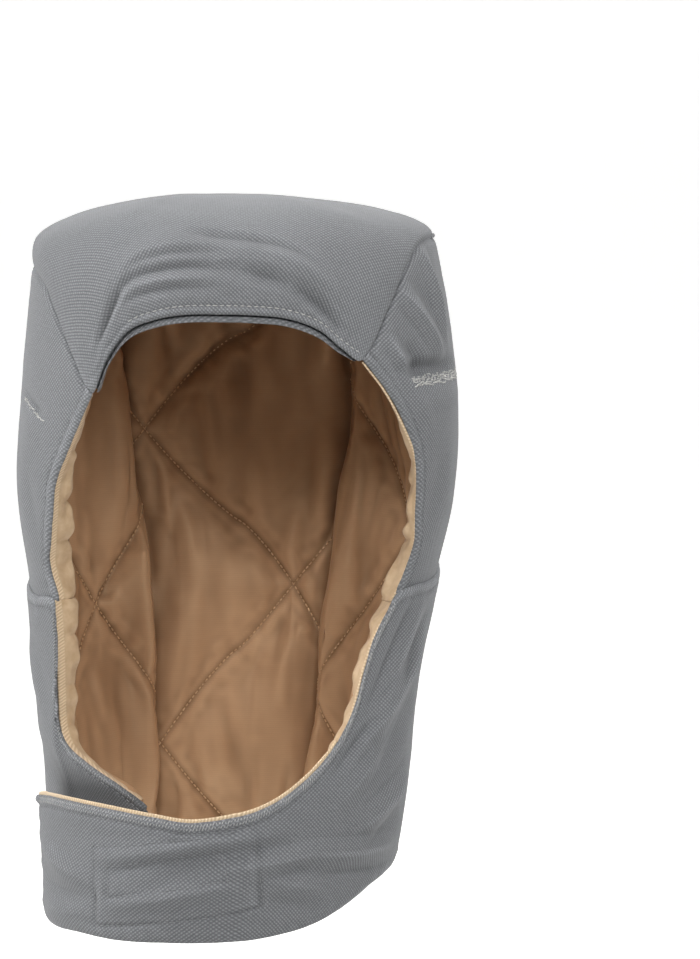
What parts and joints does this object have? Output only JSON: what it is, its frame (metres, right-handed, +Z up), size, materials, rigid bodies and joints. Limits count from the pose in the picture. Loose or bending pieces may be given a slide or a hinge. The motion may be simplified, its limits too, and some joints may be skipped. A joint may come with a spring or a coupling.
{
  "type": "winter hood liner for a hard hat",
  "caption": "Padded cloth hood worn under a hard hat, with a grey twill shell, an oval face opening, a chin flap and a quilted satin lining.",
  "frame": {"origin": "inside of the crown lining at the top, where the wearer's head seats", "axes": "+Z up, -Y towards the face opening, +X to the side where the chin flap is sewn on, which is the viewer's right seen from the front"},
  "size_m": [0.2223, 0.2195, 0.3623],
  "materials": {
    "shell_twill": "matt grey cotton twill with a fine diagonal rib",
    "tan_facing": "light tan satin strip, puckered along its stitching",
    "quilted_satin": "soft brown satin quilted in large diamonds"
  },
  "bodies": {
    "root": {"crown_panel": "shell_twill", "side_back_panel": "shell_twill", "neck_band": "shell_twill", "brow_facing": "shell_twill", "edge_facing_left": "tan_facing", "edge_facing_right": "tan_facing", "band_facing_left": "tan_facing", "band_facing_right": "tan_facing", "flap_facing": "tan_facing", "lining_crown": "quilted_satin", "lining_left": "quilted_satin", "lining_back": "quilted_satin", "lining_right": "quilted_satin", "lining_flap": "quilted_satin"}
  },
  "joints": []
}
